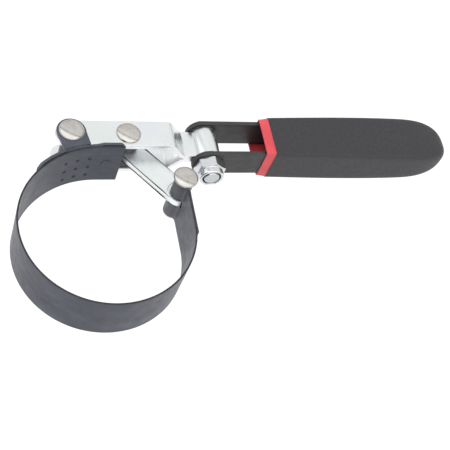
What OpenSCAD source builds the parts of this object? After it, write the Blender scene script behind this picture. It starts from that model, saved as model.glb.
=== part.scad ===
// Oil filter wrench with a steel band, a tightening lever and a swivel handle.
// Origin: centre of the band's ring. +Z: the ring's axis. +X: along the handle at rest.

/* [Band] */
// Inner radius of the band's ring with the lever open
ring_r = 38; // [34:0.5:40]
// Height of the band along the ring's axis
band_w = 26; // [25:0.5:26]
// Thickness of the band's spring steel
band_t = 0.8; // [0.6:0.05:0.9]
// Radius of the flatter bend where the band runs into its straight tail
tail_r = 42.57; // [42.3:0.01:42.6]
// Angle on the ring at which the flatter bend begins
tail_from = 140; // [139:0.5:141]
// X of the cut end of the tail
tail_end_x = 13.2; // [11:0.1:13.5]
// Angle on the ring of the line at which the band flexes
flex_angle = 225; // [215:1:235]

/* [Brackets] */
// Thickness of the anchor bracket and of the end loop
bracket_t = 1.4; // [1.2:0.05:1.4]
// Height of both brackets along the ring's axis
bracket_w = 27; // [26.6:0.1:28]
// Angle round the flatter bend at which the anchor bracket ends
saddle_to = 133.7; // [132:0.1:135]
// Radius of the rounded end of the anchor bracket's ears
ear_r = 6.7; // [6.4:0.1:7.2]
// Chamfer at the corners of the brackets
bracket_chamfer = 2; // [1.5:0.5:3]

/* [Pivots] */
// Anchor rivet: X and Y of its axis
pivot_a = [-10, 49.5];
// Link rivet: X and Y of its axis
pivot_b = [16.4, 49.4];
// End rivet: X and Y of its axis
pivot_c = [38.1, 22.8];
// Radius of the rivets' shanks
rivet_r = 3; // [2.8:0.05:3]
// Radius of the rivets' domed upper heads
rivet_head_r = 5.76; // [5.2:0.02:5.8]
// Height of the rivets' domed upper heads
rivet_head_h = 2.3; // [1.8:0.1:2.6]
// Radius of the rivets' peened lower ends
rivet_peen_r = 4.25; // [4:0.05:4.6]
// Height of the rivets' peened lower ends
rivet_peen_h = 1.25; // [1:0.05:1.6]
// Radial clearance of a pivot that turns
running_gap = 0.05; // [0.02:0.01:0.08]
// Extra radius in the link's hole at the end rivet, which the linkage needs to travel
open_pivot_gap = 0.78; // [0.74:0.02:0.9]

/* [Lever and link] */
// Width of the lever's strip
lever_w = 14.2; // [13.6:0.1:14.2]
// Thickness of the lever's strip
lever_t = 2.4; // [2:0.1:2.6]
// Height of the lever's outer faces above the middle plane
lever_z = 10.2; // [9.6:0.1:10.2]
// Outer radius of the lever's rolled eye
eye_r = 6.45; // [6.2:0.05:6.6]
// Width of the link
link_w = 11.4; // [11:0.1:11.6]
// Thickness of the link
link_t = 3.4; // [3:0.1:4]

/* [Handle] */
// X of the swivel bolt
swivel_x = 55.8; // [55.4:0.1:58]
// Y of the handle's middle plane
handle_y = 49.4; // [49.3:0.1:49.5]
// Distance between the outer faces of the handle frame's legs
frame_w = 19.6; // [19.5:0.1:20]
// Height of the handle frame's strip
frame_h = 15.3; // [14.6:0.1:15.6]
// Thickness of the handle frame's strip
frame_t = 2.1; // [1.9:0.05:2.1]
// Radius of the swivel bolt's shank
bolt_r = 4; // [4:0.05:4.1]
// Width across the flats of the lock nut
hex_af = 13; // [12.8:0.1:13.2]

/* [Grip] */
// X at which the red sleeve begins
sleeve_x = 82.6; // [80:0.2:86]
// Wall of the red sleeve beside the handle frame
sleeve_t = 0.7; // [0.5:0.05:0.8]
// Wall of the red sleeve above and below the handle frame
sleeve_top_t = 1.75; // [1:0.05:1.9]
// X at which the black grip begins
grip_x = 87.1; // [87:0.1:90]
// X of the grip's tip
grip_tip_x = 184.5; // [184:0.5:190]
// Half width and half height of the grip at its mouth
grip_mouth = [11.1, 10.1];
// Half width and half height of the grip at its fullest
grip_full = [12.6, 10.6];
// Length of the rounded nose
grip_nose = 26; // [24:0.5:30]

/* [Hidden] */

// Colours
steel_black = [0.24, 0.25, 0.28];
plate_black = [0.13, 0.13, 0.14];
zinc = [0.80, 0.83, 0.84];
nickel = [0.72, 0.70, 0.67];
dark_steel = [0.35, 0.35, 0.36];
vinyl_red = [0.80, 0.09, 0.11];
vinyl_black = [0.10, 0.10, 0.11];

// Roundness of the curved surfaces
ring_fn = 240;
bore_fn = 64;
// Overlap of solids that are joined, and the step that keeps their faces apart there
eps = 0.01;
step = 0.02;
lap = 0.3;

// Band: faces of the ring and the centre of the flatter bend before the tail
ring_out = ring_r + band_t;
tail_c = (ring_r - tail_r) * [cos(tail_from), sin(tail_from)];
tail_y = tail_c[1] + tail_r;
split_gap = 0.3;
split_half = split_gap / 2 / ring_r * 180 / PI;
end_run_y = 18;

// Spot-weld dimples in the tail's inner face
dimple_r = 0.65;
dimple_deep = 0.3;
dimple_angles = [97.3, 104.9, 112.5];
dimple_z = [-8, -1.8, 4.4];

// Anchor bracket: ears bent outward about a line round the flatter bend
ear_gap = 0.4;
ear_z = lever_z + ear_gap;
ear_top = ear_z + bracket_t;
ear_from = 97.4;
ear_to = 113.7;
bend_r = 0.5;
chamfer_block = 12;
saddle_r = tail_r + band_t + 2 * step;
bend_c = [saddle_r + bracket_t + bend_r, ear_z - bend_r];
saddle_rivet_x = 6.3;
saddle_rivet_r = 2.5;
flush_h = 0.15;
saddle_end_chamfer = 1.5;
relief_x = 0.5;
relief_z = 12.6;
relief_run = 2.9;
relief_rise = 0.9;

// Spacer tubes on the rivets, and the gaps along the rivets
anchor_spacer_r = 3.55;
link_spacer_r = 6;
side_gap = 0.15;

// Link: direction from the link rivet to the end rivet
link_v = pivot_c - pivot_b;
link_len = norm(link_v);
link_a = atan2(link_v[1], link_v[0]);

// End loop: plate rolled round the end rivet, with a lower leg and a window for the link's end
loop_in = rivet_r + running_gap;
loop_out = loop_in + bracket_t;
loop_leg_y = -4.2;
loop_leg_h = 21;
window_r = link_w / 2 + open_pivot_gap + 0.3;
window_h = link_t + 0.6;

// Lever: corners of the strip's middle line in the plane of X and Z, with bend radii
lever_in = lever_z - lever_t;
leaf_z = lever_t / 2 + 0.05;
lever_path = [[pivot_a[0], lever_z - lever_t / 2], [36.9, lever_z - lever_t / 2],
    [43.2, leaf_z], [swivel_x - bolt_r - lever_t / 2, leaf_z]];
lever_bends = [0, 4.3, 3.5, 0];
bend_steps = 10;

// Handle frame and what is stacked on the swivel bolt, outward from the middle plane
frame_end_r = 8.2;
frame_bend = frame_w / 2 - frame_t / 2;
frame_turn_x = grip_tip_x - 36;
bolt_hole_r = bolt_r + running_gap;
friction_t = 0.4;
friction_gap = 0.1;
friction_r = 7;
nut_h = 8.4;
nut_hex_h = 5.4;
nut_collar_r = 6;
head_r = 5;
head_h = 1.6;
seat_y = handle_y - frame_w / 2;
insert_h = 1.5;
insert_r = 4.55;
bolt_tip_chamfer = 0.6;
hex_tilt = -22;

// Grip: loft of rounded sections
grip_cavity_x = frame_turn_x + frame_w / 2 + 0.7;
sleeve_half = [frame_w / 2 + sleeve_t, frame_h / 2 + sleeve_top_t];
grip_len = grip_tip_x - grip_x;
body_rings = 14;
nose_rings = 14;
ring_pts = 48;
mouth_square = 16;
body_square = 7;
nose_square = 2.8;
nose_curve = 2.8;

// Polygon helpers: a path with rounded corners, and the outline of a strip along it
function unit(v) = v / norm(v);
function turn(v) = [-v[1], v[0]];
function corner(p, q, s, r) =
    let (a = unit(p - q), b = unit(s - q), half = acos(a * b) / 2,
         d = r / tan(half), c = q + unit(a + b) * r / sin(half),
         u = q + a * d - c, w = q + b * d - c,
         t0 = atan2(u[1], u[0]), dt = atan2(u[0] * w[1] - u[1] * w[0], u * w))
    [for (i = [0:bend_steps]) c + r * [cos(t0 + dt * i / bend_steps), sin(t0 + dt * i / bend_steps)]];
function rounded(path, radii) = [
    for (i = [0:len(path) - 1])
        each (radii[i] > 0 ? corner(path[i - 1], path[i], path[i + 1], radii[i]) : [path[i]])];
function heading(p, i) = unit(p[min(i + 1, len(p) - 1)] - p[max(i - 1, 0)]);
function strip(p, t) = concat(
    [for (i = [0:len(p) - 1]) p[i] + turn(heading(p, i)) * t / 2],
    [for (i = [len(p) - 1:-1:0]) p[i] - turn(heading(p, i)) * t / 2]);

// Grip helpers: size and squareness of the section a given way along, and its points
function grip_size(x) =
    let (s = min(1, (x - grip_x) / (grip_len - grip_nose)), k = max(0, (x - grip_tip_x + grip_nose) / grip_nose),
         swell = sin(90 * s), close = pow(max(0, 1 - pow(k, nose_curve)), 1 / nose_curve))
    (grip_mouth + (grip_full - grip_mouth) * swell) * close;
function grip_square(x) =
    let (s = min(1, (x - grip_x) / (grip_len - grip_nose)), k = max(0, (x - grip_tip_x + grip_nose) / grip_nose))
    mouth_square + (body_square - mouth_square) * s + (nose_square - body_square) * k;
function superellipse(half, n, a) = [
    half[0] * sign(cos(a)) * pow(abs(cos(a)), 2 / n),
    half[1] * sign(sin(a)) * pow(abs(sin(a)), 2 / n)];
function grip_xs() = concat(
    [for (i = [0:body_rings - 1]) grip_x + (grip_len - grip_nose) * i / body_rings],
    [for (i = [0:nose_rings - 1]) grip_tip_x - grip_nose * cos(90 * i / nose_rings)]);

// Part of a cylindrical wall between two angles, centred on the middle plane
module arc_wall(c, r, t, from, to, h) {
    translate([c[0], c[1], 0])
        rotate([0, 0, from])
            rotate_extrude(angle = to - from, $fn = ring_fn)
                translate([r, -h / 2])
                    square([t, h]);
}

// Straight cylinder along Z, centred on the middle plane
module post(p, r, h) {
    translate([p[0], p[1], 0])
        cylinder(r = r, h = h, center = true, $fn = bore_fn);
}

// Straight tube along Z, centred on the middle plane
module tube(p, r_out, r_in, h) {
    difference() {
        post(p, r_out, h);
        post(p, r_in, h + 2 * eps);
    }
}

// Rivet along Z, domed at the top and peened at the bottom, seated at z_seat above and below
module rivet(p, z_seat) {
    dome_r = (rivet_head_r * rivet_head_r + rivet_head_h * rivet_head_h) / (2 * rivet_head_h);
    translate([p[0], p[1], 0]) {
        cylinder(r = rivet_r, h = 2 * z_seat + 2 * eps, center = true, $fn = bore_fn);
        intersection() {
            translate([0, 0, z_seat + rivet_head_h - dome_r])
                sphere(r = dome_r, $fn = ring_fn / 2);
            translate([0, 0, z_seat])
                cylinder(r = rivet_head_r, h = rivet_head_h, $fn = bore_fn);
        }
        translate([0, 0, -z_seat - rivet_peen_h])
            cylinder(r1 = rivet_r, r2 = rivet_peen_r, h = rivet_peen_h, $fn = bore_fn);
    }
}

// Solid along Y whose near end lies at y_from
module along_y(y_from) {
    translate([swivel_x, y_from, 0])
        rotate([-90, 0, 0])
            children();
}

// Ring along Y round the swivel bolt
module bolt_ring(y_from, h, r_out, r_in) {
    along_y(y_from)
        difference() {
            cylinder(r = r_out, h = h, $fn = bore_fn);
            translate([0, 0, -eps])
                cylinder(r = r_in, h = h + 2 * eps, $fn = bore_fn);
        }
}

// Hexagonal prism with its axis along Z and its base at zero
module hex_prism(h) {
    rotate([0, 0, hex_tilt])
        cylinder(r = hex_af / 2 / cos(30), h = h, $fn = 6);
}

// Half of the band from its tail to the flex line
module band_anchor_half() {
    color(steel_black)
        difference() {
            union() {
                arc_wall([0, 0], ring_r, band_t, tail_from, flex_angle - split_half, band_w);
                arc_wall(tail_c, tail_r - step, band_t + 2 * step, 90, tail_from + lap, band_w);
                translate([tail_c[0] - lap, tail_y, -band_w / 2])
                    cube([tail_end_x - tail_c[0] + lap, band_t, band_w]);
            }
            for (a = dimple_angles, z = dimple_z)
                translate([tail_c[0], tail_c[1], z])
                    rotate([0, 90, a])
                        translate([0, 0, tail_r - 1])
                            cylinder(r = dimple_r, h = 1 + dimple_deep, $fn = 24);
            translate([saddle_rivet_x, tail_y + band_t / 2, 0])
                rotate([90, 0, 0])
                    cylinder(r = saddle_rivet_r, h = 2 * band_t, center = true, $fn = bore_fn);
        }
}

// Half of the band from the flex line to its free end
module band_end_half() {
    color(steel_black)
        difference() {
            union() {
                arc_wall([0, 0], ring_r, band_t, flex_angle + split_half, 360, band_w);
                translate([ring_r, 0, -band_w / 2])
                    cube([band_t, end_run_y, band_w]);
            }
            post(pivot_c, window_r, window_h);
        }
}

// Cuts the corners, size c, off a bracket plate that ends at p and points along a
module chamfer_cut(p, a, c) {
    for (s = [-1, 1])
        translate([p[0], p[1], s * bracket_w / 2])
            rotate([0, -45 * s, a])
                translate([chamfer_block / 2 - c / sqrt(2), 0, 0])
                    cube([chamfer_block, chamfer_block, chamfer_block], center = true);
}

// Lowers the saddle's rims between the ears and the tab beside them, with a slope up to the tab
module relief_cut() {
    for (s = [0, 1])
        mirror([0, 0, s])
            translate([0, tail_y + 2 * bracket_w, 0])
                rotate([90, 0, 0])
                    linear_extrude(2 * bracket_w)
                        polygon([[relief_x - 2 * relief_run, relief_z], [relief_x, relief_z],
                            [relief_x + 2 * relief_run, relief_z + 2 * relief_rise],
                            [relief_x - 2 * relief_run, relief_z + 2 * relief_rise]]);
}

// Section of the saddle where the ears stand: a web with a bend at the top and at the bottom
module ear_section() {
    translate([saddle_r, -bend_c[1]])
        square([bracket_t, 2 * bend_c[1]]);
    for (s = [0, 1])
        mirror([0, s])
            intersection() {
                translate(bend_c)
                    difference() {
                        circle(r = bend_r + bracket_t, $fn = bore_fn);
                        circle(r = bend_r, $fn = bore_fn);
                    }
                translate([saddle_r, bend_c[1]])
                    square([bend_r + bracket_t, bend_r + bracket_t]);
            }
}

// Flat plate of one ear, round the anchor rivet
module ear_plate() {
    difference() {
        translate([0, 0, ear_z + step])
            linear_extrude(bracket_t - 2 * step)
                union() {
                    translate(pivot_a)
                        circle(r = ear_r, $fn = bore_fn);
                    polygon([pivot_a - [ear_r, 0], tail_c + saddle_r * [cos(ear_to), sin(ear_to)],
                        tail_c + saddle_r * [cos(ear_from), sin(ear_from)], pivot_a + [ear_r, 0]]);
                }
        translate([tail_c[0], tail_c[1], 0])
            cylinder(r = bend_c[0] - lap / 2, h = bracket_w, $fn = ring_fn);
    }
}

// Saddle plate on the band's outside with two ears that hold the anchor rivet
module anchor_bracket() {
    saddle_end = tail_c + (saddle_r + bracket_t) * [cos(saddle_to), sin(saddle_to)];
    plain_r = saddle_r + step;
    plain_t = bracket_t - 2 * step;
    color(plate_black)
        difference() {
            union() {
                arc_wall(tail_c, plain_r, plain_t, ear_to - lap, saddle_to, bracket_w);
                arc_wall(tail_c, plain_r, plain_t, 90, ear_from + lap, bracket_w);
                translate([tail_c[0], tail_c[1], 0])
                    rotate([0, 0, ear_from])
                        rotate_extrude(angle = ear_to - ear_from, $fn = ring_fn)
                            ear_section();
                translate([tail_c[0] - lap, tail_y + band_t + 3 * step, -bracket_w / 2])
                    cube([tail_end_x - tail_c[0] + lap, plain_t - 2 * step, bracket_w]);
                for (s = [0, 1])
                    mirror([0, 0, s])
                        ear_plate();
            }
            chamfer_cut(saddle_end, saddle_to + 90, bracket_chamfer);
            chamfer_cut([tail_end_x, tail_y + band_t + bracket_t], 0, saddle_end_chamfer);
            relief_cut();
            post(pivot_a, rivet_r + running_gap, bracket_w);
            translate([saddle_rivet_x, tail_y + band_t, 0])
                rotate([90, 0, 0])
                    cylinder(r = saddle_rivet_r, h = 4 * bracket_t, center = true, $fn = bore_fn);
        }
}

// Rivet through the band and the saddle, nearly flush with both faces
module saddle_rivet() {
    color(steel_black)
        translate([saddle_rivet_x, tail_y - flush_h, 0])
            rotate([-90, 0, 0])
                cylinder(r = saddle_rivet_r, h = band_t + bracket_t + flush_h, $fn = bore_fn);
}

// Rivet that the lever turns on
module anchor_rivet() {
    color(nickel)
        rivet(pivot_a, ear_top);
}

// Tube that keeps the lever's plates apart on the anchor rivet
module anchor_spacer() {
    color(dark_steel)
        tube(pivot_a, anchor_spacer_r, rivet_r + running_gap, 2 * (lever_in - side_gap));
}

// Hairpin strip with a rolled eye for the swivel bolt
module lever() {
    profile = strip(rounded(lever_path, lever_bends), lever_t);
    color(zinc)
        difference() {
            union() {
                for (s = [0, 1])
                    mirror([0, 0, s]) {
                        translate([0, handle_y + lever_w / 2, 0])
                            rotate([90, 0, 0])
                                linear_extrude(lever_w)
                                    polygon(profile);
                        translate([pivot_a[0], handle_y, lever_in])
                            cylinder(r = lever_w / 2, h = lever_t, $fn = bore_fn);
                    }
                along_y(handle_y - lever_w / 2)
                    cylinder(r = eye_r, h = lever_w, $fn = bore_fn);
            }
            along_y(handle_y - lever_w)
                cylinder(r = bolt_hole_r, h = 2 * lever_w, $fn = bore_fn);
            post(pivot_a, rivet_r + running_gap, 3 * lever_z);
            post(pivot_b, rivet_r + running_gap, 3 * lever_z);
        }
}

// Rivet that joins the link to the lever
module link_rivet() {
    color(nickel)
        rivet(pivot_b, lever_z);
}

// Tubes on the link rivet, one each side of the link
module link_spacers() {
    spacer_from = link_t / 2 + side_gap;
    spacer_h = lever_in - side_gap - spacer_from;
    color(dark_steel)
        for (s = [-1, 1])
            translate([0, 0, s * (spacer_from + spacer_h / 2)])
                tube(pivot_b, link_spacer_r, rivet_r + running_gap, spacer_h);
}

// Bar from the lever to the band's free end
module link() {
    color(zinc)
        difference() {
            union() {
                post(pivot_b, link_w / 2, link_t);
                post(pivot_c, link_w / 2, link_t);
                translate([pivot_b[0], pivot_b[1], 0])
                    rotate([0, 0, link_a])
                        translate([0, step - link_w / 2, step - link_t / 2])
                            cube([link_len, link_w - 2 * step, link_t - 2 * step]);
            }
            post(pivot_b, rivet_r + running_gap, 2 * link_t);
            post(pivot_c, rivet_r + open_pivot_gap, 2 * link_t);
        }
}

// Plate rolled round the end rivet, with its leg on the band's outside
module end_loop() {
    color(plate_black)
        difference() {
            union() {
                post(pivot_c, loop_out, bracket_w);
                translate([ring_out, loop_leg_y, -loop_leg_h / 2])
                    cube([bracket_t, pivot_c[1] - loop_leg_y - loop_in, loop_leg_h]);
            }
            post(pivot_c, loop_in, bracket_w + 1);
            post(pivot_c, window_r, window_h);
        }
}

// Rivet that joins the link to the end loop
module end_rivet() {
    color(nickel)
        rivet(pivot_c, bracket_w / 2);
}

// Hairpin strip whose legs straddle the lever's eye
module handle_frame() {
    color(plate_black)
        difference() {
            union() {
                for (s = [-1, 1]) {
                    leg_y = handle_y + s * frame_bend - frame_t / 2;
                    translate([swivel_x, leg_y, -frame_h / 2])
                        cube([frame_turn_x - swivel_x, frame_t, frame_h]);
                    intersection() {
                        along_y(leg_y)
                            cylinder(r = frame_end_r, h = frame_t, $fn = bore_fn);
                        translate([swivel_x - frame_end_r - 1, leg_y - 1, -frame_h / 2])
                            cube([frame_end_r + 1 + eps, frame_t + 2, frame_h]);
                    }
                }
                arc_wall([frame_turn_x, handle_y], frame_bend - frame_t / 2, frame_t, -90, 90, frame_h);
            }
            along_y(handle_y - frame_w)
                cylinder(r = bolt_hole_r, h = 2 * frame_w, $fn = bore_fn);
        }
}

// Bolt that the handle swivels on, with a low round head on the far side
module swivel_bolt() {
    tip_y = seat_y - nut_h;
    head_y = handle_y + frame_w / 2;
    color(zinc) {
        along_y(tip_y)
            cylinder(r1 = bolt_r - bolt_tip_chamfer, r2 = bolt_r, h = bolt_tip_chamfer, $fn = bore_fn);
        along_y(tip_y + bolt_tip_chamfer)
            cylinder(r = bolt_r, h = head_y - tip_y - bolt_tip_chamfer + eps, $fn = bore_fn);
        along_y(head_y)
            cylinder(r = head_r, h = head_h, $fn = bore_fn);
    }
}

// Lock nut: hexagon with a round collar that holds the nylon ring
module lock_nut() {
    color(zinc)
        difference() {
            union() {
                along_y(seat_y - nut_hex_h)
                    hex_prism(nut_hex_h);
                along_y(seat_y - nut_h)
                    cylinder(r = nut_collar_r, h = nut_h - nut_hex_h + eps, $fn = bore_fn);
            }
            along_y(seat_y - nut_h - 1)
                cylinder(r = bolt_r + running_gap, h = nut_h + 2, $fn = bore_fn);
            along_y(seat_y - nut_h - 1)
                cylinder(r = insert_r, h = insert_h + 1, $fn = bore_fn);
        }
}

// Nylon ring in the lock nut
module nut_insert() {
    color(plate_black)
        bolt_ring(seat_y - nut_h, insert_h - running_gap, insert_r - running_gap, bolt_r + running_gap);
}

// Thin washers between the lever's eye and the handle frame's legs
module friction_washers() {
    from = lever_w / 2 + friction_gap;
    color(dark_steel) {
        bolt_ring(handle_y - from - friction_t, friction_t, friction_r, bolt_hole_r);
        bolt_ring(handle_y + from, friction_t, friction_r, bolt_hole_r);
    }
}

// Red sleeve over the handle frame, open at its mouth
module handle_sleeve() {
    length = grip_cavity_x - sleeve_x;
    color(vinyl_red)
        difference() {
            translate([sleeve_x, handle_y - sleeve_half[0], -sleeve_half[1]])
                cube([length, 2 * sleeve_half[0], 2 * sleeve_half[1]]);
            translate([sleeve_x - 1, handle_y - frame_w / 2, -frame_h / 2])
                cube([length + 2, frame_w, frame_h]);
        }
}

// Black grip: a loft of rounded sections with the sleeve's cavity cut out of it
module grip() {
    xs = grip_xs();
    last = len(xs) - 1;
    points = concat(
        [for (x = xs, k = [0:ring_pts - 1])
            let (p = superellipse(grip_size(x), grip_square(x), 360 * k / ring_pts))
                [x, handle_y + p[0], p[1]]],
        [[grip_tip_x, handle_y, 0]]);
    tip = len(points) - 1;
    faces = concat(
        [[for (k = [0:ring_pts - 1]) k]],
        [for (i = [0:last - 1], k = [0:ring_pts - 1])
            let (n = (k + 1) % ring_pts)
                [i * ring_pts + n, i * ring_pts + k, (i + 1) * ring_pts + k, (i + 1) * ring_pts + n]],
        [for (k = [0:ring_pts - 1])
            let (n = (k + 1) % ring_pts)
                [last * ring_pts + n, last * ring_pts + k, tip]]);
    color(vinyl_black)
        difference() {
            polyhedron(points, faces);
            translate([grip_x - 1, handle_y - sleeve_half[0], -sleeve_half[1]])
                cube([grip_cavity_x - grip_x + 1, 2 * sleeve_half[0], 2 * sleeve_half[1]]);
        }
}

band_anchor_half();
band_end_half();
anchor_bracket();
saddle_rivet();
anchor_rivet();
anchor_spacer();
lever();
link_rivet();
link_spacers();
link();
end_loop();
end_rivet();
handle_frame();
swivel_bolt();
lock_nut();
nut_insert();
friction_washers();
handle_sleeve();
grip();
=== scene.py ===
import math

import bmesh
import bpy
from mathutils import Euler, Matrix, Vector


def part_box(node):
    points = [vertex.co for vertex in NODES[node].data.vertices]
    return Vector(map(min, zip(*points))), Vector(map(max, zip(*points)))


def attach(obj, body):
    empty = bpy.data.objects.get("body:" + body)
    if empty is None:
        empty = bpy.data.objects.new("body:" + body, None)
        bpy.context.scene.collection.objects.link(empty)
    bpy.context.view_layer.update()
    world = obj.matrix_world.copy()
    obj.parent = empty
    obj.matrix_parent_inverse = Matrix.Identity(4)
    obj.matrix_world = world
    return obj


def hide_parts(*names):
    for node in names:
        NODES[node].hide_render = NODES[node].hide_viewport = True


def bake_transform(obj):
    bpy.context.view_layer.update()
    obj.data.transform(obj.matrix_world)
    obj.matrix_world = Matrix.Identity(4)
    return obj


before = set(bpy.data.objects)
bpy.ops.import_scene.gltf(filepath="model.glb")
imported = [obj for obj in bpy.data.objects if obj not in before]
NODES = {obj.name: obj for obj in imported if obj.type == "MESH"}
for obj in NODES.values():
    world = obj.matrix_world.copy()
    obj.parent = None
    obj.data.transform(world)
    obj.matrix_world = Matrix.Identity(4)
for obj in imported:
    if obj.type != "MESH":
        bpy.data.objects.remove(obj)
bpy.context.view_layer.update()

MM = 0.001

# Band, all in millimetres like every length below: the ring, the flatter bend before the
# tail, and the straight runs at both ends
RING_R = 38.0
BAND_T = 0.8
BAND_H = 26.0
TAIL_R = 42.57
TAIL_FROM = 140.0
TAIL_END_X = 13.2
END_RUN_Y = 18.0
BAND_EDGE = 0.18

# Weld dimples in the tail's inner face: places, radius, depth, steepness of the wall, the share
# of the depth from which their floors get painted shade, and the grid's step and margin around them
DIMPLE_ANGLES = (97.3, 104.9, 112.5)
DIMPLE_Z = (-8.0, -1.8, 4.4)
DIMPLE_R = 1.0
DIMPLE_DEEP = 0.42
DIMPLE_STEEP = 1.6
DIMPLE_SHADE_FROM = 0.6
DIMPLE_STEP = 0.24
DIMPLE_MARGIN = 1.2

# Slot at the band's free end for the link, and the rows of faces along its depth
SLOT_HALF = 2.0
SLOT_DEEP = 2.0
SLOT_ROWS = 3

# Material numbers on the strap: its faces; its cut edges, and painted shade on the floors of its
# dimples
FACE, RIM_AND_SHADE = 0, 1

# Rivets: the dome with its rim and the powers of its curve, the shank, and the peened end with
# its dished face as (radius, height above the foot)
DOME_H = 2.3
DOME_RIM = 0.32
DOME_POWERS = (2.25, 0.62)
SHANK_R = 3.0
PEEN_H = 1.25
PEEN_R = 4.25
PEEN_ROUND = 0.8
PEEN_DISH = ((2.4, 0.0), (1.9, 0.12), (1.2, 0.22), (0.4, 0.25))

# Lock nut: width across flats, turn, height of the hexagon, bore, the collar's waist and roll,
# and the nylon ring's radius and seat
NUT_AF = 13.0
NUT_TILT = -22.0
NUT_HEX_H = 5.4
NUT_BORE = 4.05
NUT_WAIST_R = 5.88
NUT_ROLL = 0.75
NYLON_R = 4.5
NYLON_SEAT = 1.45

# Swivel bolt: shank; the tip, one turn of thread and the head as (radius, height); and where
# the thread starts and ends above the tip
BOLT_R = 4.0
BOLT_TIP = ((0.3, 0.12), (2.9, 0.1), (3.35, 0.0), (3.5, 0.05), (3.95, 0.6))
THREAD_TURN = ((4.0, 0.0), (3.5, 0.55), (3.5, 0.65), (4.0, 1.15))
THREAD_TURNS = 4
THREAD_PITCH = 1.25
THREAD_START = 0.85
THREAD_END = 6.2
BOLT_HEAD = ((4.9, 0.0), (5.0, 0.1), (5.0, 0.9), (4.88, 1.2), (4.4, 1.45), (3.4, 1.6), (0.3, 1.6))

# Sleeve: half width of its bore, its outer and least corner, the lip at its front edge, and how
# much its half width and half height grow toward the grip
SLEEVE_BORE = 9.8
SLEEVE_CORNER = 1.3
LEAST_CORNER = 0.45
SLEEVE_LIP = 0.25
SLEEVE_FLARE = (0.4, 0.55)

# Grip: half width and half height at the mouth and at the fullest, the nose, how square its
# section is, the lip's radius, and the points round each section
GRIP_MOUTH = (11.1, 10.1)
GRIP_FULL = (12.6, 10.6)
GRIP_NOSE = 26.0
MOUTH_SQUARE = 16.0
BODY_SQUARE = 7.0
NOSE_SQUARE = 2.8
NOSE_CURVE = 2.8
GRIP_LIP = 0.28
GRIP_STEPS = 120

# Lever: the strip's width and thickness, its outer face, the bends with the straight kept
# before and after them, the eye, and the play round the rivets
LEVER_W = 14.2
LEVER_T = 2.4
LEVER_Z = 10.2
LEVER_CORNERS = (36.9, 43.2)
LEVER_BENDS = (4.3, 3.5)
BEND_CLEAR = 3.0
LEAF_Z = 1.25
EYE_R = 6.45
EYE_BEND = 1.6
LEVER_EDGE = 0.25
PIVOT_GAP = 0.05

# End loop: the roll, the plate, the leg's height and corner, the fillet against the strap, the
# window for the link, and the softening of the edges
LOOP_OUT_R = 4.45
LOOP_IN_R = 3.05
LOOP_PLATE = 1.4
LOOP_LEG_H = 21.0
LEG_CORNER = 0.5
LEG_EDGE = 0.25
LOOP_EDGE = 0.3
LOOP_FILLET = 2.0
WINDOW_R = 6.78
WINDOW_HALF = 2.0

# Softened edges of the CAD nodes: weld distance, and the angle from which an edge is softened
WELD_GAP = 0.002
BEVEL_ANGLE = 32.0

# Zinc plate's colours: green, plain and blue passivation, and worn
ZINC_TONES = ((0.765, 0.82, 0.80), (0.82, 0.835, 0.845), (0.79, 0.815, 0.86), (0.7, 0.72, 0.735))

# Floor: its height, under the handle's tip when the handle is turned straight down, and its
# reach in metres, grey and glow
FLOOR_Z = -135.0
FLOOR_REACH = 12.0
FLOOR_GREY = 0.18
FLOOR_GLOW = 0.84

# Surroundings: brightness by height above the horizon; the direction square to the dark strip,
# and brightness along that direction
SKY_UP = ((0.0, 0.35), (0.1, 0.35), (0.2, 1.08), (1.0, 1.14))
STRIP_AXIS = (-0.558, -0.811, -0.174)
SKY_STRIP = ((0.0, 0.92), (0.2, 0.84), (0.26, 1.05), (0.29, 1.05), (0.345, 0.5), (0.385, 0.5),
             (0.47, 1.45), (1.0, 1.35))

# Soft boxes, in metres and watts: place, size and power; both aim at one point
LIGHT_AIM = (0.05, 0.02, 0.0)
LIGHTS = {
    "key": ((-0.35, 0.25, 0.9), (0.6, 0.6), 4.5),
    "fill": ((0.5, -0.7, 0.6), (0.8, 0.5), 1.5),
}

# Camera at the photograph's angle: focal length, place and turn in degrees
CAMERA_LENS = 80.66
CAMERA_AT = (-97.27, -218.58, 370.5)
CAMERA_TURN = (33.03, -16.04, -11.51)

# Slack for comparing lengths
TINY = 1e-6


# Mesh helpers

def polar(r, degrees, centre=(0.0, 0.0)):
    """Point at a radius and an angle about a centre."""
    a = math.radians(degrees)
    return (centre[0] + r * math.cos(a), centre[1] + r * math.sin(a))


def spread(start, end, count):
    """The count + 1 evenly spaced numbers from start to end."""
    return [start + (end - start) * i / count for i in range(count + 1)]


def piece(name, verts, faces, materials, sharp=35.0, indices=None):
    """Smooth mesh object from points in millimetres, with edges sharp above an angle."""
    mesh = bpy.data.meshes.new(name)
    mesh.from_pydata([Vector(v) * MM for v in verts], [], faces)
    for material in materials:
        mesh.materials.append(material)
    if indices:
        mesh.polygons.foreach_set("material_index", indices)
    mesh.shade_smooth()
    bm = bmesh.new()
    bm.from_mesh(mesh)
    bmesh.ops.recalc_face_normals(bm, faces=bm.faces)
    bm.to_mesh(mesh)
    bm.free()
    mesh.set_sharp_from_angle(angle=math.radians(sharp))
    obj = bpy.data.objects.new(name, mesh)
    bpy.context.scene.collection.objects.link(obj)
    return obj


def stand_in(obj, body, node):
    """Puts a finished piece in the place of a CAD node, on its body."""
    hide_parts(node)
    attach(obj, body)


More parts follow.
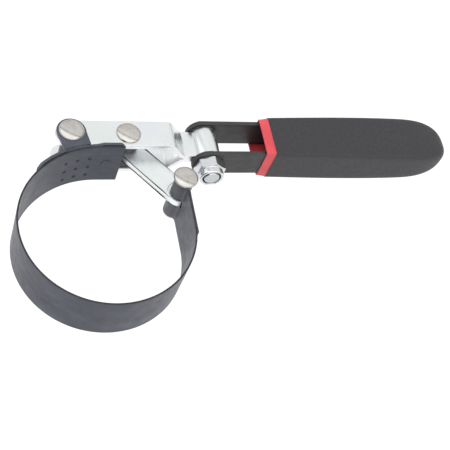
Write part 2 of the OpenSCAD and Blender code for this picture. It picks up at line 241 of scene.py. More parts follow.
def loops_to_mesh(loops, closed_path=False):
    """Points and faces between loops of equal length; an open path gets its ends capped."""
    count = len(loops[0])
    verts = [p for loop in loops for p in loop]
    faces = []
    last = len(loops) if closed_path else len(loops) - 1
    for i in range(last):
        a = i * count
        b = (i + 1) % len(loops) * count
        for k in range(count):
            n = (k + 1) % count
            faces.append((a + k, a + n, b + n, b + k))
    if not closed_path:
        faces.append(tuple(reversed(range(count))))
        faces.append(tuple(range((len(loops) - 1) * count, len(loops) * count)))
    return verts, faces


def lathe(profile, place, steps=96, closed=False):
    """Turns a profile of (radius, height) about an axis; place puts a local point in the part."""
    loops = []
    for r, h in profile:
        loops.append([place(*polar(r, 360.0 * k / steps), h) for k in range(steps)])
    return loops_to_mesh(loops, closed)


def arc(centre, r, start, end, count):
    """Points (radius, height) of a fillet in a lathed profile."""
    return [polar(r, a, centre) for a in spread(start, end, count)]


# Places on a CAD node's box, in millimetres

def middle(node):
    lo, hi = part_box(node)
    return (lo + hi) / 2 / MM


def low(node):
    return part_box(node)[0] / MM


def high(node):
    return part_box(node)[1] / MM


# Node helpers, for the materials and the surroundings

def colour_ramp(tree, value, stops):
    """Colour over a value, through stops of (position, colour)."""
    node = tree.nodes.new("ShaderNodeValToRGB")
    ends = node.color_ramp.elements
    while len(ends) < len(stops):
        ends.new(0.5)
    for end, (at, colour) in zip(ends, stops):
        end.position = at
        end.color = (*colour, 1.0)
    tree.links.new(value, node.inputs["Fac"])
    return node.outputs["Color"]


def map_range(tree, value, low_from, high_from, low_to, high_to):
    """A value's range stretched onto another range."""
    node = tree.nodes.new("ShaderNodeMapRange")
    node.inputs["From Min"].default_value = low_from
    node.inputs["From Max"].default_value = high_from
    node.inputs["To Min"].default_value = low_to
    node.inputs["To Max"].default_value = high_to
    tree.links.new(value, node.inputs["Value"])
    return node.outputs["Result"]


def mix_colours(tree, kind, factor, a, b):
    """Mixes two colours by a factor; each of the three is a socket or a plain value."""
    node = tree.nodes.new("ShaderNodeMix")
    node.data_type = "RGBA"
    node.blend_type = kind
    inputs = [socket for socket in node.inputs if socket.enabled]
    for socket, value in zip(inputs, (factor, a, b)):
        if hasattr(value, "is_output"):
            tree.links.new(value, socket)
        else:
            socket.default_value = value
    return next(socket for socket in node.outputs if socket.enabled)


class Surface:
    """A material with its shader, and short calls for the nodes that vary it."""

    def __init__(self, name, base, metallic=0.0, roughness=0.5):
        self.material = bpy.data.materials.new(name)
        self.material.use_nodes = True
        self.tree = self.material.node_tree
        self.shader = self.tree.nodes["Principled BSDF"]
        self.set("Base Color", (*base, 1.0))
        self.set("Metallic", metallic)
        self.set("Roughness", roughness)
        self.where = self.tree.nodes.new("ShaderNodeTexCoord").outputs["Object"]
        self.normal = None

    def set(self, socket, value):
        self.shader.inputs[socket].default_value = value

    def link(self, a, b):
        self.tree.links.new(a, b)

    def noise(self, per_metre, detail=3.0, rough=0.55, stretch=None):
        where = self.where
        if stretch:
            mapping = self.tree.nodes.new("ShaderNodeMapping")
            mapping.inputs["Scale"].default_value = stretch
            self.link(where, mapping.inputs["Vector"])
            where = mapping.outputs["Vector"]
        node = self.tree.nodes.new("ShaderNodeTexNoise")
        node.inputs["Scale"].default_value = per_metre
        node.inputs["Detail"].default_value = detail
        node.inputs["Roughness"].default_value = rough
        self.link(where, node.inputs["Vector"])
        return node.outputs["Fac"]

    def cells(self, per_metre):
        node = self.tree.nodes.new("ShaderNodeTexVoronoi")
        node.inputs["Scale"].default_value = per_metre
        self.link(self.where, node.inputs["Vector"])
        return node.outputs["Distance"]

    def ramp(self, value, *stops):
        return colour_ramp(self.tree, value, stops)

    def range(self, value, low_to, high_to, low_from=0.3, high_from=0.7):
        return map_range(self.tree, value, low_from, high_from, low_to, high_to)

    def mix(self, factor, a, colour):
        return mix_colours(self.tree, "MIX", factor, a, (*colour, 1.0))

    def bump(self, height, distance, strength):
        """Adds a bump, its distance in millimetres, on top of the bumps made before."""
        node = self.tree.nodes.new("ShaderNodeBump")
        node.inputs["Strength"].default_value = strength
        node.inputs["Distance"].default_value = distance * MM
        self.link(height, node.inputs["Height"])
        if self.normal:
            self.link(self.normal, node.inputs["Normal"])
        self.normal = node.outputs["Normal"]
        self.link(self.normal, self.shader.inputs["Normal"])

    def pointiness(self):
        return self.tree.nodes.new("ShaderNodeNewGeometry").outputs["Pointiness"]

    def colour(self, value):
        self.link(value, self.shader.inputs["Base Color"])

    def rough(self, value):
        self.link(value, self.shader.inputs["Roughness"])


# Materials

def blued_steel():
    """Satin blue-grey spring steel with soft streaks and light scuffs."""
    s = Surface("strap_blued", (0.055, 0.06, 0.073), metallic=0.35, roughness=0.42)
    streak = s.noise(60, 4, 0.6, stretch=(1.0, 1.0, 3.5))
    tone = s.ramp(streak, (0.3, (0.032, 0.036, 0.048)), (0.55, (0.043, 0.048, 0.066)),
                  (0.75, (0.06, 0.067, 0.09)))
    speck = s.range(s.noise(2600, 2), 0.0, 0.35, 0.6, 0.78)
    s.colour(s.mix(speck, tone, (0.11, 0.115, 0.13)))
    s.rough(s.range(s.noise(240, 5, 0.65), 0.36, 0.5))
    s.bump(s.noise(1400, 3), 0.01, 0.5)
    return s.material


def blued_rim_and_shade():
    """Nearly black steel of the strap's cut edges, also used as painted shade on the floors of its
    dimples.
    """
    s = Surface("strap_rim_and_shade", (0.02, 0.021, 0.024), metallic=0.3, roughness=0.45)
    s.colour(s.ramp(s.noise(500), (0.35, (0.014, 0.015, 0.017)), (0.7, (0.035, 0.036, 0.04))))
    s.rough(s.range(s.noise(900), 0.38, 0.55))
    return s.material


def black_plate(name, dark, light, rough_low, rough_high):
    """Satin black coating with faint mottling, lighter on its edges: a painted highlight with a
    little wear.
    """
    s = Surface(name, dark, metallic=0.2, roughness=rough_low)
    tone = s.ramp(s.noise(120, 5, 0.6), (0.3, dark), (0.72, light))
    # Lighter edges by pointiness: painted highlight along the edges, with a little wear
    wear_and_edge_highlight = s.range(s.pointiness(), 0.0, 0.5, 0.53, 0.62)
    s.colour(s.mix(wear_and_edge_highlight, tone, (0.11, 0.11, 0.115)))
    s.rough(s.range(s.noise(300, 4), rough_low, rough_high))
    s.bump(s.noise(1500, 3), 0.012, 0.5)
    return s.material


def zinc_plate(name, rough_low, rough_high, painted_light_scale=1.0):
    """Bright zinc with a faint green and blue passivation tint and rolling marks."""
    s = Surface(name, (0.74, 0.76, 0.77), metallic=1.0, roughness=rough_low)
    # painted_light_scale scales all tones of this copy: painted light above 1, painted shade below 1
    green, plain, blue, wear_and_edge_highlight = [tuple(painted_light_scale * c for c in tone) for tone in ZINC_TONES]
    tint = s.ramp(s.noise(45, 3, 0.5), (0.3, green), (0.5, plain), (0.7, blue))
    dull = s.range(s.noise(300, 4, 0.6), 0.0, 0.2, 0.5, 0.75)
    s.colour(s.mix(dull, tint, wear_and_edge_highlight))
    s.rough(s.range(s.noise(120, 3, 0.5, stretch=(1.0, 3.0, 3.0)), rough_low, rough_high))
    s.bump(s.noise(220, 2, 0.5, stretch=(1.0, 2.5, 2.5)), 0.012, 0.18)
    return s.material


def nickel():
    """Polished rivet heads, slightly warm, with fine handling marks."""
    s = Surface("rivet_nickel", (0.56, 0.54, 0.51), metallic=1.0, roughness=0.13)
    s.colour(s.ramp(s.noise(300, 4), (0.3, (0.5, 0.48, 0.45)), (0.7, (0.62, 0.6, 0.575))))
    s.rough(s.range(s.noise(700, 4), 0.17, 0.27))
    s.bump(s.noise(380, 2), 0.018, 0.5)
    return s.material


def dark_steel():
    """Plain dark steel of the spacer tubes and the washers."""
    s = Surface("spacer_steel", (0.06, 0.06, 0.062), metallic=0.6, roughness=0.4)
    s.colour(s.ramp(s.noise(400, 4), (0.3, (0.04, 0.04, 0.042)), (0.7, (0.09, 0.09, 0.094))))
    s.rough(s.range(s.noise(800), 0.32, 0.5))
    return s.material


def nylon():
    """Matte black nylon of the lock nut's ring."""
    s = Surface("nylon_black", (0.012, 0.012, 0.013), roughness=0.5)
    s.rough(s.range(s.noise(900), 0.42, 0.6))
    s.bump(s.noise(2500), 0.01, 0.4)
    return s.material


def red_vinyl():
    """Satin red vinyl, a little uneven in depth of colour."""
    s = Surface("sleeve_red", (0.5, 0.045, 0.056), roughness=0.36)
    s.colour(s.ramp(s.noise(130, 3), (0.3, (0.44, 0.037, 0.046)), (0.7, (0.54, 0.056, 0.068))))
    s.rough(s.range(s.noise(500, 4), 0.3, 0.44))
    s.bump(s.noise(900, 3), 0.02, 0.4)
    return s.material


def grip_vinyl():
    """Dipped black vinyl with a fine pebble grain."""
    s = Surface("grip_black", (0.022, 0.0215, 0.025), roughness=0.6)
    grain = s.noise(2600, 3, 0.6)
    s.colour(s.ramp(grain, (0.35, (0.014, 0.0135, 0.016)), (0.62, (0.027, 0.026, 0.03)),
                    (0.8, (0.06, 0.058, 0.064))))
    s.rough(s.range(s.noise(900, 4), 0.46, 0.64))
    s.bump(s.cells(1900), 0.05, 0.55)
    s.bump(s.noise(4200, 2), 0.03, 0.5)
    return s.material


# Pieces

def band_path():
    """Line of the strap's inner face from the tail's cut end to the free end, as (point, outward
    normal, angle about the tail's centre). The angle is 0 outside the tail's bend."""
    centre = polar(RING_R - TAIL_R, TAIL_FROM)
    fine = math.degrees(DIMPLE_STEP / TAIL_R)
    path = []
    for x in spread(TAIL_END_X, centre[0], 16)[:-1]:
        path.append(((x, centre[1] + TAIL_R), (0.0, 1.0), 0.0))
    first, last = DIMPLE_ANGLES[0] - 2.0, DIMPLE_ANGLES[-1] + 2.0
    steps = spread(90.0, first, 6)[:-1]
    steps += spread(first, last, round((last - first) / fine))
    steps += spread(last, TAIL_FROM, 20)[1:-1]
    for a in steps:
        path.append((polar(TAIL_R, a, centre), polar(1.0, a), a))
    for a in spread(TAIL_FROM, 360.0, 176)[:-1]:
        path.append((polar(RING_R, a), polar(1.0, a), 0.0))
    slot_y = END_RUN_Y - SLOT_DEEP
    for y in spread(0.0, slot_y, 10)[:-1] + spread(slot_y, END_RUN_Y, SLOT_ROWS):
        path.append(((RING_R, y), (1.0, 0.0), 0.0))
    return path


def dimple_depth(a, z):
    """Depth of the weld dimples in the tail's inner face, at an angle and height."""
    if not a:
        return 0.0
    deep = 0.0
    for at in DIMPLE_ANGLES:
        for height in DIMPLE_Z:
            away = math.hypot(math.radians(a - at) * TAIL_R, z - height) / DIMPLE_R
            if away < 1.0:
                deep = max(deep, DIMPLE_DEEP * min(1.0, DIMPLE_STEEP * (1.0 - away * away)))
    return deep


def band_heights():
    """Heights of the strap's grid lines, fine where the dimples are and on the slot's sides."""
    lo, hi = DIMPLE_Z[0] - DIMPLE_MARGIN, DIMPLE_Z[-1] + DIMPLE_MARGIN
    half = BAND_H / 2 - BAND_EDGE
    heights = spread(-half, lo, 5)[:-1]
    heights += spread(lo, -SLOT_HALF, round((-SLOT_HALF - lo) / DIMPLE_STEP))[:-1]
    heights += spread(-SLOT_HALF, SLOT_HALF, round(2 * SLOT_HALF / DIMPLE_STEP))[:-1]
    heights += spread(SLOT_HALF, hi, round((hi - SLOT_HALF) / DIMPLE_STEP))[:-1]
    return heights + spread(hi, half, 8)


def strap_section(heights):
    """Loop of (outward, height) points: the inner face, the top rim, the outer face, the bottom."""
    half = BAND_H / 2 - BAND_EDGE
    inner = [(0.0, z) for z in heights]
    outer = [(BAND_T, z) for z in reversed(heights)]
    top = [polar(BAND_EDGE, a, (BAND_EDGE, half)) for a in (150, 120, 90)]
    top += [polar(BAND_EDGE, a, (BAND_T - BAND_EDGE, half)) for a in (90, 60, 30)]
    bottom = [(x, -z) for x, z in reversed(top)]
    return inner + top + outer + bottom


def strap_faces(path, heights, section):
    """The strap's faces round the link's slot, and the material of each."""
    rows, count = len(heights), len(section)
    outer_at = count // 2
    last = len(path) - 1
    slot_at = last - SLOT_ROWS
    left = min(k for k, z in enumerate(heights) if z > -SLOT_HALF - TINY)
    right = min(k for k, z in enumerate(heights) if z > SLOT_HALF - TINY)
    faces = []
    kinds = []

    def mirror(k):
        """The outer face's point opposite a point of the inner face."""
        return outer_at + rows - 1 - k

    def add(kind, *corners):
        faces.append(corners)
        kinds.append(kind)

    for i in range(last):
        for k in range(count):
            in_slot = left <= k < right or mirror(right) <= k < mirror(left)
            if i >= slot_at and in_slot:
                continue
            on_face = k < rows - 1 or outer_at <= k < outer_at + rows - 1
            deep = dimple_depth(path[i][2], section[k][1]) if k < rows else 0.0
            # Deep dimple floors take the nearly black edge material as painted shade in the hollows
            dark = deep > DIMPLE_SHADE_FROM * DIMPLE_DEEP or not on_face
            a, b = i * count, (i + 1) * count
            n = (k + 1) % count
            add(RIM_AND_SHADE if dark else FACE, a + k, b + k, b + n, a + n)
    for k in range(left, right):
        a = slot_at * count
        add(RIM_AND_SHADE, a + k, a + k + 1, a + mirror(k + 1), a + mirror(k))
    for i in range(slot_at, last):
        for k in (left, right):
            a, b = i * count, (i + 1) * count
            add(RIM_AND_SHADE, a + k, b + k, b + mirror(k), a + mirror(k))
    for end in (0, last):
        a = end * count
        for k in range(rows - 1):
            if end and left <= k < right:
                continue
            add(RIM_AND_SHADE, a + k, a + k + 1, a + mirror(k + 1), a + mirror(k))
        add(RIM_AND_SHADE, *range(a + rows - 1, a + outer_at + 1))
        add(RIM_AND_SHADE, *range(a + outer_at + rows - 1, a + count), a)
    return faces, kinds


def strap(face, rim_and_shade):
    """The whole spring band in one piece, with rounded rims, dimples and the link's slot."""
    path = band_path()
    heights = band_heights()
    section = strap_section(heights)
    verts = []
    for (x, y), (nx, ny), turn in path:
        for k, (out, z) in enumerate(section):
            if k < len(heights):
                out = dimple_depth(turn, z)
            verts.append((x + nx * out, y + ny * out, z))
    faces, kinds = strap_faces(path, heights, section)
    used = sorted({v for f in faces for v in f})
    place = {v: i for i, v in enumerate(used)}
    faces = [tuple(place[v] for v in f) for f in faces]
    obj = piece("strap", [verts[v] for v in used], faces, (face, rim_and_shade), 40.0, kinds)
    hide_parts("band_anchor_half", "band_end_half")
    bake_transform(obj)


def rivet(name, node, body, material):
    """Rivet with a bright dome above, a thin rim, and a peened end below."""
    x, y, _ = middle(node)
    top, bottom = high(node)[2], low(node)[2]
    r = high(node)[0] - x
    seat, foot = top - DOME_H, bottom + PEEN_H
    swell, fall = DOME_POWERS
    profile = []
    for t in spread(0.04, 1.0, 26):
        rise = (DOME_H - DOME_RIM) * (1.0 - t ** swell) ** fall
        profile.append(((r - DOME_RIM * 0.4) * t, seat + DOME_RIM + rise))
    profile += [(r, seat + DOME_RIM), (r, seat + DOME_RIM * 0.35), (r - 0.14, seat)]
    profile += [(SHANK_R, seat), (SHANK_R, foot), (PEEN_R, foot), (PEEN_R, foot - 0.35)]
    profile += arc((PEEN_R - PEEN_ROUND, bottom + PEEN_ROUND), PEEN_ROUND, 0, -90, 6)
    profile += [(a, bottom + h) for a, h in PEEN_DISH]
    verts, faces = lathe(profile, lambda a, b, h: (x + a, y + b, h), 128)
    stand_in(piece(name, verts, faces, (material,), 30.0), body, node)


def bend(p, q, s, r, count):
    """Points of a bend of radius r at q on the way from p to s."""
    p, q, s = Vector(p), Vector(q), Vector(s)
    a, b = (p - q).normalized(), (s - q).normalized()
    half = a.angle(b) / 2
    centre = q + (a + b).normalized() * r / math.sin(half)
    reach = r / math.tan(half)
    start, end = q + a * reach - centre, q + b * reach - centre
    swing = math.atan2(start.x * end.y - start.y * end.x, start.dot(end))
    first = math.atan2(start.y, start.x)
    turns = spread(first, first + swing, count)
    return [tuple(centre + r * Vector((math.cos(t), math.sin(t)))) for t in turns]


def lever_path(x_end, x_bolt):
    """Middle line of the hairpin in the plane of X and Z, from its upper to its lower end."""
    z = LEVER_Z - LEVER_T / 2
    r = EYE_R - LEVER_T / 2
    across = math.sqrt((r + EYE_BEND) ** 2 - (LEAF_Z + EYE_BEND) ** 2)
    bend_x, bend_z = x_bolt - across, LEAF_Z + EYE_BEND
    meet = math.degrees(math.atan2(bend_z, across))
    first, second = (LEVER_CORNERS[0], z), (LEVER_CORNERS[1], LEAF_Z)
    half = [(x, z) for x in spread(x_end, LEVER_CORNERS[0] - BEND_CLEAR, 34)]
    half += bend((x_end, z), first, second, LEVER_BENDS[0], 14)
    half += bend(first, second, (bend_x, LEAF_Z), LEVER_BENDS[1], 8)
    half += [(x, LEAF_Z) for x in spread(LEVER_CORNERS[1] + BEND_CLEAR, bend_x, 3)[:-1]]
    half += [polar(EYE_BEND, a, (bend_x, bend_z)) for a in spread(-90.0, -meet, 8)]
    half += [polar(r, a, (x_bolt, 0.0)) for a in spread(180.0 - meet, 0.0, 28)[1:-1]]
    return half + [(x_bolt + r, 0.0)] + [(x, -z) for x, z in reversed(half)]


def combine(obj, other, operation):
    """Joins another piece to this one, or cuts it away, and removes the other."""
    step = obj.modifiers.new("step", "BOOLEAN")
    step.operation = operation
    step.solver = "EXACT"
    step.object = other
    bpy.context.view_layer.update()
    depsgraph = bpy.context.evaluated_depsgraph_get()
    made = bpy.data.meshes.new_from_object(obj.evaluated_get(depsgraph))
    obj.modifiers.clear()
    obj.data = made
    bpy.data.objects.remove(other)


def punch(obj, places, r, h):
    """Cuts round holes along Z through a finished piece."""
    for x, y in places:
        verts, faces = lathe([(r, -h), (r, h)], lambda a, b, c: (x + a, y + b, c))
        combine(obj, piece("cutter", verts, faces, ()), "DIFFERENCE")


def prism(name, outline, half, edge, material):
    """Upright piece on a plan outline, with softened rims above and below."""
    after = outline[1:] + outline[:1]
    area = sum(a[0] * b[1] - b[0] * a[1] for a, b in zip(outline, after))
    side = 1.0 if area > 0 else -1.0
    inward = []
    for a, b in zip(outline[-1:] + outline[:-1], after):
        along = (Vector(b) - Vector(a)).normalized()
        inward.append((-along.y * side, along.x * side))
    loops = []
    for inset, z in ((edge, -half), (edge * 0.3, -half + edge * 0.3), (0.0, -half + edge),
                     (0.0, half - edge), (edge * 0.3, half - edge * 0.3), (edge, half)):
        loops.append([(x + n[0] * inset, y + n[1] * inset, z) for (x, y), n in zip(outline, inward)])
    verts, faces = loops_to_mesh(loops)
    return piece(name, verts, faces, (material,))


def roll_outline(centre):
    """Plan of the roll, with the fillets that run into the strap and into the leg."""
    cx, cy = centre
    reach = LOOP_OUT_R + LOOP_FILLET
    inner_x = RING_R - LOOP_FILLET
    inner = (inner_x, cy - math.sqrt(reach ** 2 - (cx - inner_x) ** 2))
    outer_x = RING_R + BAND_T + LOOP_PLATE + LOOP_FILLET
    outer = (outer_x, cy - math.sqrt(reach ** 2 - (cx - outer_x) ** 2))
    left = math.degrees(math.atan2(cy - inner[1], cx - inner[0]))
    right = math.degrees(math.atan2(cy - outer[1], cx - outer[0]))
    points = [polar(LOOP_FILLET, a, outer) for a in spread(180.0, right, 8)[:-1]]
    points += [polar(LOOP_OUT_R, a, centre) for a in spread(right - 180.0, left + 180.0, 64)]
    points += [polar(LOOP_FILLET, a, inner) for a in spread(left, 0.0, 8)[1:]]
    return points + [(RING_R + BAND_T / 2, inner[1] - 0.3)]


def end_loop(material):
    """Plate on the strap's outside, rolled round the end rivet, open where the link goes in."""
    x, y, _ = middle("end_rivet")
    top = high("end_loop")[2]
    foot = low("end_loop")[1]
    obj = prism("end_loop_plate", roll_outline((x, y)), top, LOOP_EDGE, material)
    inside, outside = RING_R + BAND_T, RING_R + BAND_T + LOOP_PLATE
    leg_top = y - LOOP_IN_R - 0.6
    corner = (outside - LEG_CORNER, foot + LEG_CORNER)
    leg = [(inside, leg_top), (inside, foot + 0.05), (inside + 0.05, foot)]
    leg += [polar(LEG_CORNER, a, corner) for a in spread(-90.0, 0.0, 6)]
    leg += [(outside, leg_top)]
    combine(obj, prism("leg", leg, LOOP_LEG_H / 2, LEG_EDGE, material), "UNION")
    punch(obj, ((x, y),), LOOP_IN_R, 2 * top)
    punch(obj, ((x, y),), WINDOW_R, WINDOW_HALF)
    obj.data.set_sharp_from_angle(angle=math.radians(38.0))
    stand_in(obj, "strap_end", "end_loop")


def lever_stations(x_end, x_bolt):
    """Stations along the hairpin as (point, half width), with its two round ends."""
    z = LEVER_Z - LEVER_T / 2
    half_w = LEVER_W / 2
    cap = []
    for t in spread(88.0, 0.0, 14)[:-1]:
        a = math.radians(t)
        cap.append((x_end - half_w * math.sin(a), half_w * math.cos(a)))
    stations = [((x, z), w) for x, w in cap]
    stations += [(p, half_w) for p in lever_path(x_end, x_bolt)]
    return stations + [((x, -z), w) for x, w in reversed(cap)]


def lever(material):
    """Hairpin strip: two plates with round ends, pressed together and rolled round the bolt."""
    pivot, link_at = middle("anchor_rivet"), middle("link_rivet")
    y = middle("lever")[1]
    stations = lever_stations(pivot[0], middle("swivel_bolt")[0])
    last = len(stations) - 1
    loops = []
    for i, ((x, z), w) in enumerate(stations):
        before, after = stations[max(i - 1, 0)][0], stations[min(i + 1, last)][0]
        go = (Vector(after) - Vector(before)).normalized()
        section = rounded_rectangle((w, LEVER_T / 2), min(LEVER_EDGE, w * 0.9), 4)
        loops.append([(x - go.y * b, y + a, z + go.x * b) for a, b in section])
    verts, faces = loops_to_mesh(loops)
    obj = piece("lever_strip", verts, faces, (material,), 50.0)
    holes = ((pivot[0], pivot[1]), (link_at[0], link_at[1]))
    punch(obj, holes, SHANK_R + PIVOT_GAP, 2 * LEVER_Z)
    obj.data.set_sharp_from_angle(angle=math.radians(30.0))
    stand_in(obj, "lever", "lever")


def along_bolt(x, z):
    """Places a lathed point with its height measured along +Y."""
    return lambda a, b, h: (x + a, h, z + b)


def hex_reach(degrees):
    """Distance from the nut's axis to its hexagon in a direction."""
    a = (degrees - 90.0 + NUT_TILT + 30.0) % 60.0 - 30.0
    return NUT_AF / 2 / math.cos(math.radians(a))


def nut_rings(tip, seat):
    """Rings of the nut from its seat over the outside to its bore: height, radius, whether the
    hexagon cuts the ring."""
    shoulder = seat - NUT_HEX_H
    flat, waist = NUT_AF / 2, NUT_WAIST_R
    rings = [(seat, NUT_BORE, False), (seat, flat - 0.25, False)]
    rings += [(seat - t, flat - 0.15 + t * 1.75, True) for t in spread(0.0, 0.75, 6)]
    rings += [(shoulder + t * 0.85, flat - 0.35 + t * 1.5, True) for t in spread(1.05, 0.0, 8)]
    rings += [(shoulder - 0.05, waist + 0.25, False), (shoulder - 0.25, waist, False)]
    rings += [(shoulder - 0.7, waist, False)]
    roll = arc((waist - NUT_ROLL, tip + NUT_ROLL), NUT_ROLL, 0, -100, 8)
    rings += [(h, r, False) for r, h in roll]
    rings += [(tip + 0.35, NYLON_R + 0.02, False), (tip + NYLON_SEAT, NYLON_R, False)]
    return rings + [(tip + NYLON_SEAT, NUT_BORE, False)]


def nut(material):
    """Lock nut: chamfered hexagon and a collar rolled over the nylon ring."""
    x, _, z = middle("lock_nut")
    place = along_bolt(x, z)
    loops = []
    for h, limit, is_hex in nut_rings(low("lock_nut")[1], high("lock_nut")[1]):
        loop = []
        for a in spread(0.0, 360.0, 144)[:-1]:
            r = min(limit, hex_reach(a)) if is_hex else limit
            loop.append(place(*polar(r, a), h))
        loops.append(loop)
    verts, faces = loops_to_mesh(loops, closed_path=True)
    stand_in(piece("nut", verts, faces, (material,), 24.0), "handle", "lock_nut")


def nylon_ring(material):
    """Nylon ring in the nut's collar, softened at its front edges."""
    x, _, z = middle("lock_nut")
    tip, back = low("nut_insert")[1], high("nut_insert")[1]
    profile = [(NUT_BORE, back), (NUT_BORE, tip + 0.5), (NUT_BORE + 0.1, tip + 0.38)]
    profile += [(NYLON_R - 0.15, tip + 0.42), (NYLON_R, tip + 0.55), (NYLON_R, back)]
    verts, faces = lathe(profile, along_bolt(x, z), closed=True)
    obj = piece("nylon_ring", verts, faces, (material,))
    stand_in(obj, "handle", "nut_insert")


def bolt(material):
    """Swivel bolt: low domed head, shank, a few turns of thread and a chamfered tip."""
    x, _, z = middle("swivel_bolt")
    tip = low("swivel_bolt")[1]
    seat = high("swivel_bolt")[1] - BOLT_HEAD[-1][1]
    profile = [(r, tip + h) for r, h in BOLT_TIP]
    for turn in range(THREAD_TURNS):
        start = tip + THREAD_START + turn * THREAD_PITCH
        profile += [(r, start + h) for r, h in THREAD_TURN]
    profile += [(BOLT_R, tip + THREAD_END), (BOLT_R, seat)]
    profile += [(r, seat + h) for r, h in BOLT_HEAD]
    verts, faces = lathe(profile, along_bolt(x, z))
    stand_in(piece("bolt", verts, faces, (material,), 30.0), "handle", "swivel_bolt")


def rounded_rectangle(half, corner, count=8):
    """Loop of (across, up) points of a rectangle with round corners."""
    loop = []
    for quarter in range(4):
        sx = (1, -1, -1, 1)[quarter]
        sy = (1, 1, -1, -1)[quarter]
        centre = (sx * (half[0] - corner), sy * (half[1] - corner))
        for a in spread(90.0 * quarter, 90.0 * quarter + 90.0, count):
            loop.append(polar(corner, a, centre))
    return loop


def sleeve(material):
    """Red vinyl sleeve: a rounded box tube with a soft front edge."""
    lo, hi = low("handle_sleeve"), high("handle_sleeve")
    y = (lo[1] + hi[1]) / 2
    half = ((hi[1] - lo[1]) / 2, (hi[2] - lo[2]) / 2)
    wall = half[0] - SLEEVE_BORE
    # Each section is (x, how far it is drawn in, how much of the flare it has)
    sections = [(hi[0], wall, 0.0), (lo[0] + SLEEVE_LIP, wall, 0.0)]
    for a in spread(0.0, 180.0, 8):
        c, d = math.cos(math.radians(a)), math.sin(math.radians(a))
        sections.append((lo[0] + SLEEVE_LIP * (1.0 - d), wall * (1.0 + c) / 2, 0.0))
    sections += [(lo[0] + 1.2, 0.0, 0.0), (low("grip")[0] + 0.2, 0.0, 1.0), (hi[0], 0.0, 1.0)]
    loops = []
    for at, inset, flare in sections:
        size = [h - inset + flare * f for h, f in zip(half, SLEEVE_FLARE)]
        loop = rounded_rectangle(size, max(LEAST_CORNER, SLEEVE_CORNER - inset))
        loops.append([(at, y + a, b) for a, b in loop])
    verts, faces = loops_to_mesh(loops, closed_path=True)
    obj = piece("sleeve", verts, faces, (material,))
    stand_in(obj, "handle", "handle_sleeve")


def grip_section(x, start, tip, shrink):
    """Loop of the grip's outline at x, drawn in by shrink at the rounded mouth."""
    length = tip - start
    s = min(1.0, (x - start) / (length - GRIP_NOSE))
    k = max(0.0, (x - tip + GRIP_NOSE) / GRIP_NOSE)
    close = max(0.0, 1.0 - k ** NOSE_CURVE) ** (1 / NOSE_CURVE)
    square = MOUTH_SQUARE + (BODY_SQUARE - MOUTH_SQUARE) * s + (NOSE_SQUARE - BODY_SQUARE) * k
    swell = math.sin(math.radians(90.0 * s))
    half = [(m + (f - m) * swell) * close - shrink for m, f in zip(GRIP_MOUTH, GRIP_FULL)]
    loop = []
    for t in spread(0.0, 4.0, GRIP_STEPS)[:-1]:
        # Even spacing along the outline: the angle is taken on a square, not on a circle
        side, along = int(t), t % 1.0 * 2.0 - 1.0
        a = math.atan2(*[(along, 1.0), (1.0, -along), (-along, -1.0), (-1.0, along)][side])
        c, d = math.cos(a), math.sin(a)
        scale = (abs(c) ** square + abs(d) ** square) ** (-1 / square)
        loop.append((half[0] * c * scale, half[1] * d * scale))
    return loop


def grip(material):
    """Dipped vinyl grip with a rounded lip at its mouth and a blunt nose."""
    start, tip = low("grip")[0], high("grip")[0]
    y = middle("grip")[1]
    inner = (middle("handle_sleeve")[1] - low("handle_sleeve")[1], high("handle_sleeve")[2])
    inner = [i + f for i, f in zip(inner, SLEEVE_FLARE)]
    body_end = tip - GRIP_NOSE
    loops = []

    def add(x, shrink):
        loops.append([(x, y + a, b) for a, b in grip_section(x, start, tip, shrink)])

    def add_inner(x):
        loop = []
        for a, b in grip_section(start, start, tip, 0.0):
            loop.append((x, y + a / GRIP_MOUTH[0] * inner[0], b / GRIP_MOUTH[1] * inner[1]))
        loops.append(loop)

    add_inner(high("handle_sleeve")[0])
    add_inner(start + 0.3)
    for a in spread(0.0, 90.0, 6):
        c, d = math.cos(math.radians(a)), math.sin(math.radians(a))
        add(start + GRIP_LIP * (1.0 - d), GRIP_LIP * c)
    for x in spread(start + 1.0, body_end, 46):
        add(x, 0.0)
    for a in spread(0.0, 88.5, 40)[1:]:
        add(body_end + GRIP_NOSE * math.sin(math.radians(a)) ** (2 / NOSE_CURVE), 0.0)
    verts, faces = loops_to_mesh(loops)
    obj = piece("grip_skin", verts, faces, (material,), 60.0)
    stand_in(obj, "handle", "grip")


def dress(node, material, edge):
    """Gives a CAD node its material and softens its edges."""
    obj = NODES[node]
    obj.data.materials.clear()
    obj.data.materials.append(material)
    weld = obj.modifiers.new("weld", "WELD")
    weld.merge_threshold = WELD_GAP * MM
    bevel = obj.modifiers.new("edges", "BEVEL")
    bevel.width = edge * MM
    bevel.segments = 3
    bevel.limit_method = "ANGLE"
    bevel.angle_limit = math.radians(BEVEL_ANGLE)
    bevel.use_clamp_overlap = False
    bevel.harden_normals = False
    obj.modifiers.new("normals", "WEIGHTED_NORMAL").keep_sharp = True


# Studio

def floor():
    """Plain pale floor that glows a little, so that it stays white in every view."""
    mesh = bpy.data.meshes.new("floor")
    z = FLOOR_Z * MM
    corners = [(x * FLOOR_REACH, y * FLOOR_REACH, z) for x, y in ((-1, -1), (1, -1), (1, 1), (-1, 1))]
    mesh.from_pydata(corners, [], [(0, 1, 2, 3)])
    s = Surface("floor_white", (FLOOR_GREY, FLOOR_GREY, FLOOR_GREY), roughness=0.9)
    s.set("Emission Color", (1.0, 1.0, 1.0, 1.0))
    s.set("Emission Strength", FLOOR_GLOW)
    s.set("Specular IOR Level", 0.0)
    mesh.materials.append(s.material)
    obj = bpy.data.objects.new("floor", mesh)
    bpy.context.scene.collection.objects.link(obj)


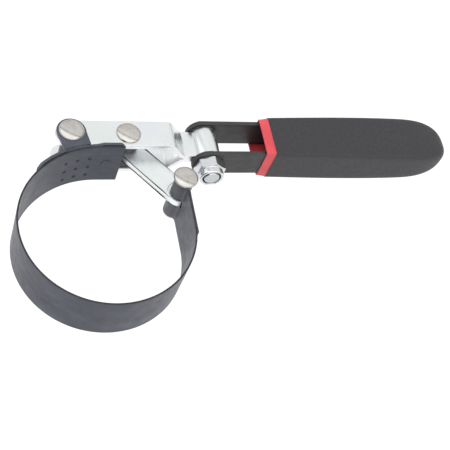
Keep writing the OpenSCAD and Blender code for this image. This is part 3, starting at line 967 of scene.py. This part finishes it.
def soft_light(name, place, size, watts):
    """Soft box that lights the part but isn't mirrored in its metal."""
    data = bpy.data.lights.new(name, "AREA")
    data.shape = "RECTANGLE"
    data.size, data.size_y = size
    data.energy = watts
    obj = bpy.data.objects.new(name, data)
    obj.location = place
    obj.rotation_euler = (Vector(LIGHT_AIM) - Vector(place)).to_track_quat("-Z", "Y").to_euler()
    obj.visible_glossy = False
    bpy.context.scene.collection.objects.link(obj)


def grey_ramp(tree, value, stops):
    """Grey over a value, through stops of (position, brightness)."""
    return colour_ramp(tree, value, [(at, (grey, grey, grey)) for at, grey in stops])


def sky():
    """White surroundings with a darker horizon and a soft dark strip, for the metal."""
    world = bpy.data.worlds.new("studio")
    world.use_nodes = True
    tree = world.node_tree
    where = tree.nodes.new("ShaderNodeTexCoord").outputs["Generated"]
    split = tree.nodes.new("ShaderNodeSeparateXYZ")
    tree.links.new(where, split.inputs[0])
    up = grey_ramp(tree, split.outputs["Z"], SKY_UP)
    toward = tree.nodes.new("ShaderNodeVectorMath")
    toward.operation = "DOT_PRODUCT"
    toward.inputs[1].default_value = STRIP_AXIS
    tree.links.new(where, toward.inputs[0])
    shift = map_range(tree, toward.outputs["Value"], -1.0, 1.0, 0.0, 1.0)
    strip = grey_ramp(tree, shift, SKY_STRIP)
    back = tree.nodes["Background"]
    tree.links.new(mix_colours(tree, "MULTIPLY", 1.0, up, strip), back.inputs["Color"])
    back.inputs["Strength"].default_value = 1.0
    bpy.context.scene.world = world


def camera():
    """Camera at the photograph's angle."""
    data = bpy.data.cameras.new("camera")
    data.lens = CAMERA_LENS
    data.sensor_width = 36.0
    data.clip_start = 0.01
    obj = bpy.data.objects.new("camera", data)
    obj.location = Vector(CAMERA_AT) * MM
    obj.rotation_euler = Euler([math.radians(a) for a in CAMERA_TURN])
    bpy.context.scene.collection.objects.link(obj)
    bpy.context.scene.camera = obj


def main():
    zinc = zinc_plate("lever_zinc", 0.24, 0.36)
    # Copies of the zinc: the link's painted lighter, the nut's and the bolt's painted darker,
    # standing in for light and shade on them
    link_zinc = zinc_plate("link_zinc", 0.34, 0.46, 1.08)
    nut_zinc = zinc_plate("nut_zinc", 0.18, 0.28, 0.84)
    bolt_zinc = zinc_plate("bolt_zinc", 0.22, 0.32, 0.66)
    bracket = black_plate("bracket_black", (0.042, 0.046, 0.06), (0.07, 0.076, 0.098), 0.36, 0.5)
    leg = black_plate("frame_black", (0.02, 0.019, 0.021), (0.036, 0.034, 0.037), 0.38, 0.52)
    bright = nickel()
    spacer = dark_steel()
    black = nylon()
    steel = blued_steel()
    strap(steel, blued_rim_and_shade())
    lever(zinc)
    rivet("rivet_at_bracket", "anchor_rivet", "strap_and_bracket", bright)
    rivet("rivet_at_link", "link_rivet", "lever", bright)
    rivet("rivet_at_loop", "end_rivet", "strap_end", bright)
    nut(nut_zinc)
    nylon_ring(black)
    bolt(bolt_zinc)
    sleeve(red_vinyl())
    grip(grip_vinyl())
    dress("anchor_bracket", bracket, 0.25)
    end_loop(bracket)
    dress("saddle_rivet", steel, 0.1)
    dress("anchor_spacer", spacer, 0.08)
    dress("link_spacers", spacer, 0.1)
    dress("link", link_zinc, 0.35)
    dress("handle_frame", leg, 0.3)
    dress("friction_washers", spacer, 0.06)
    floor()
    sky()
    for name, (place, size, watts) in LIGHTS.items():
        soft_light(name, place, size, watts)
    camera()
    bpy.context.scene.view_settings.view_transform = "Standard"


main()
